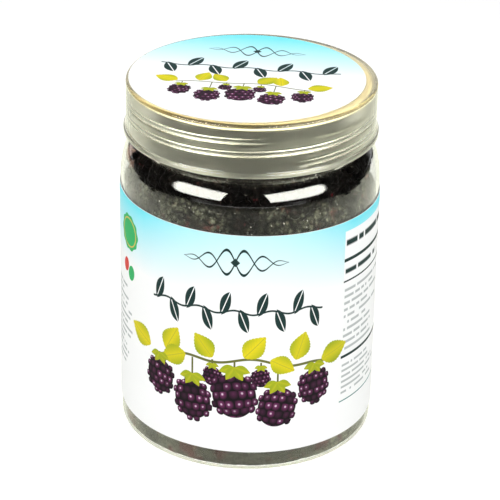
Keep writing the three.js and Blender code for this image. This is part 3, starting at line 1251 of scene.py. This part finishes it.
def makeLidLabel():
    shape = lidLabelShape
    outline = [(0, shape["bottom"]), (shape["radius"], shape["bottom"])]
    outline += arcPoints(shape["radius"] - shape["round"], shape["top"] - shape["round"], shape["round"], 0, 90, 3)
    outline += [(0, shape["top"])]
    label = spinOutline("round_label", outline, shape["steps"])
    moveMesh((shape["shift"] * mm, 0, 0))
    smoothBelow(label, lidLabelShape["smooth"])
    layer = printLayer(label)
    for loop in label.data.loops:
        point = label.data.vertices[loop.vertex_index].co
        layer.data[loop.index].uv = ((point.x / mm) - shape["shift"], point.y / mm)
    blankBacks(label, lambda face: face.normal.z > 0.5)
    finishPiece(label, "lid", "label_paper", lidPaper(), "lid_label")


def makeWrapLabel():
    shape = wrapShape
    bpy.ops.object.select_all(action="DESELECT")
    height = shape["top"] - shape["bottom"]
    bpy.ops.mesh.primitive_grid_add(
        x_subdivisions=shape["steps"], y_subdivisions=shape["rows"], size=1, location=(0, 0, 0)
    )
    label = bpy.context.object
    label.name = "wrap_sleeve"
    layer = printLayer(label)
    sweep = 360 - 2 * shape["seamGap"]
    flat = [(vertex.co.x * sweep, (vertex.co.y + 0.5) * height) for vertex in label.data.vertices]
    for loop in label.data.loops:
        azimuth, up = flat[loop.vertex_index]
        layer.data[loop.index].uv = (math.radians(azimuth) * shape["outer"], up)
    for vertex in label.data.vertices:
        azimuth, up = flat[vertex.index]
        drop = shape["skew"] * math.radians(azimuth)
        vertex.co = polar(shape["outer"] * mm, azimuth, (shape["bottom"] + up - drop) * mm)
    wall = label.modifiers.new("paper", "SOLIDIFY")
    wall.thickness = shape["thickness"] * mm
    wall.offset = -1
    applyAll(label)
    blankBacks(label, lambda face: face.normal.xy.dot(face.center.xy) > 0.5 * face.center.xy.length)
    smoothBelow(label, lidLabelShape["smooth"])
    finishPiece(label, "jar", "label_paper", wrapPaper(), "wrap_label")


# dried berries

fruitShape = {
    "gap": 0.25,
    # the mass behind the berries that show: it fills the heel, and is slimmer behind the label
    "core": [
        (0, 6.4), (20, 5.3), (34, 2.9), (40, 1.5), (45, 1.5), (47.2, 1.6), (48.6, 2.6), (49.4, 4.2),
        (49.6, 6), (49.6, 9), (49.4, 12), (46, 14), (45, 17), (45, 86), (47, 89), (47.5, 91.5),
        (47.5, 94), (47.2, 96.5), (46.8, 99), (46.3, 101.5), (45.8, 104), (45.3, 106.5), (45.1, 109), (45, 111.5),
        (44.6, 113.5), (43.6, 115.5), (42, 117), (39.5, 117.8), (36, 117.8), (28, 117), (0, 117),
    ],
    "coreSteps": 160,
    "coreLumps": 4.5,
    "coreDepth": 2.6,
    "berry": 6.6,
    "apart": (0.31, 0.17),  # so far from one kind to the next in the textures, in metres
    "drupelet": (3.1, 1.8, -1.9, 0.4),  # size, strength, depth and level
    "fold": (1.4, 1.5),
    "thin": 0.055,
    "squash": ((0.9, 0.2), (0.78, 0.2), (1.0, 0.2)),  # least and spread on each axis
    "ringJitter": 0.3,
    "heightJitter": 2.4,
    "grow": (0.92, 0.22),
    "upright": 0.7,  # how strongly they turn about an upright axis
    "smooth": 60,
    "topLimit": 120.9,
    "seed": 5,
    "kinds": 7,
    "rings": [
        # radius, height and how many; the singles below have radius, azimuth and height
        (41.8, 6.8, 23), (31, 8.6, 15), (20, 10.3, 10), (9, 11, 5), (0, 11.3, 1),
        (41, 96.5, 21), (40, 106.3, 21), (39.6, 113.6, 20), (29, 114, 14), (18, 114.5, 9), (6, 114, 3),
    ],
    "singles": [(41.8, -91, 112.4), (39.8, 3.5, 115.2), (39.8, 17.5, 115.2), (39.8, -37, 115.2)],
}


def innerLimit(height):  # the inside of the jar's wall at a height, in mm
    shape = jarShape
    inset = shape["wall"] + fruitShape["gap"]
    if height < shape["shoulderStart"]:
        rise = max(0.0, shape["heel"] - height)
        bend = shape["heel"] - inset
        centre = shape["bodyRadius"] - shape["heel"]
        return centre + math.sqrt(max(0.0, bend * bend - rise * rise))
    outline = shoulderOutline(inset, shape["neckBore"] - fruitShape["gap"])
    for (r0, z0), (r1, z1) in zip(outline, outline[1:]):
        if z0 <= height <= z1:
            return r0 + (r1 - r0) * (height - z0) / (z1 - z0)
    return shape["neckBore"] - fruitShape["gap"]


def floorLimit(radius):  # the inside of the jar's base at a radius, in mm
    shape = jarShape
    share = min(1.0, radius / shape["footRadius"])
    return shape["wall"] + fruitShape["gap"] + shape["pushUp"] * (1 - share * share)


def displace(piece, texture, depth):
    modifier = piece.modifiers.new("relief", "DISPLACE")
    modifier.texture = texture
    modifier.texture_coords = "LOCAL"
    modifier.strength = depth * mm
    return modifier


def makeBerryKind(index, draw):  # one shrivelled berry at the origin
    shape = fruitShape
    bpy.ops.object.select_all(action="DESELECT")
    bpy.ops.mesh.primitive_ico_sphere_add(subdivisions=6, radius=shape["berry"] * mm, location=(0, 0, 0))
    berry = bpy.context.object
    berry.name = "berry_kind_%d" % index
    apart = Vector((index * shape["apart"][0], index * shape["apart"][1], 0))
    moveMesh(apart)
    size, strength, depth, level = shape["drupelet"]
    cells = bpy.data.textures.new("drupelets_%d" % index, "VORONOI")
    cells.distance_metric = "DISTANCE_SQUARED"
    cells.noise_scale = size * mm
    cells.noise_intensity = strength
    displace(berry, cells, depth).mid_level = level
    size, depth = shape["fold"]
    folds = bpy.data.textures.new("folds_%d" % index, "CLOUDS")
    folds.noise_scale = size * mm
    displace(berry, folds, depth)
    berry.modifiers.new("thin", "DECIMATE").ratio = shape["thin"]
    applyAll(berry)
    squash = [least + spread * draw.random() for least, spread in shape["squash"]]
    for vertex in berry.data.vertices:
        vertex.co = (vertex.co - apart) * Vector(squash)
    return berry


def makeFruit():
    shape = fruitShape
    draw = random.Random(shape["seed"])
    kinds = [makeBerryKind(i, draw) for i in range(shape["kinds"])]
    core = spinOutline("berry_fill", shape["core"], shape["coreSteps"])
    lumps = bpy.data.textures.new("core_lumps", "CLOUDS")
    lumps.noise_scale = shape["coreLumps"] * mm
    displace(core, lumps, shape["coreDepth"])
    applyAll(core)
    places = []
    for radius, height, count in shape["rings"]:
        turn = draw.random() * 360
        for i in range(count):
            azimuth = turn + 360 * (i + shape["ringJitter"] * (draw.random() - 0.5)) / count
            places.append((radius, azimuth, height + shape["heightJitter"] * (draw.random() - 0.5)))
    copies = [core]
    least, spread = shape["grow"]
    for radius, azimuth, height in places + shape["singles"]:
        source = kinds[draw.randrange(shape["kinds"])]
        copy = source.copy()
        copy.data = source.data.copy()
        bpy.context.scene.collection.objects.link(copy)
        turn = draw.random() * math.tau
        axis = (draw.random() - 0.5, draw.random() - 0.5, shape["upright"])
        spin = Matrix.Rotation(turn, 4, axis)
        grow = Matrix.Scale(least + spread * draw.random(), 4)
        copy.data.transform(Matrix.Translation(polar(radius * mm, azimuth, height * mm)) @ spin @ grow)
        copies.append(copy)
    for kind in kinds:
        bpy.data.objects.remove(kind)
    bpy.ops.object.select_all(action="DESELECT")
    for copy in copies:
        copy.select_set(True)
    bpy.context.view_layer.objects.active = core
    bpy.ops.object.join()
    fruit = bpy.context.object
    for vertex in fruit.data.vertices:  # pressed against the jar
        radius = math.hypot(vertex.co.x, vertex.co.y) / mm
        height = min(vertex.co.z / mm, shape["topLimit"])
        height = max(height, floorLimit(radius))
        limit = innerLimit(height)
        if radius > limit:
            drawIn(vertex, limit / radius)
        vertex.co.z = height * mm
    smoothBelow(fruit, shape["smooth"])
    finishPiece(fruit, "jar", "dried_fruit", fruitSkin(), "dried_berries")


makeJar()
print("stage: jar")
makeLid()
makeLiner()
print("stage: lid and liner")
makeWrapLabel()
makeLidLabel()
print("stage: labels")
makeFruit()
print("stage: fruit")
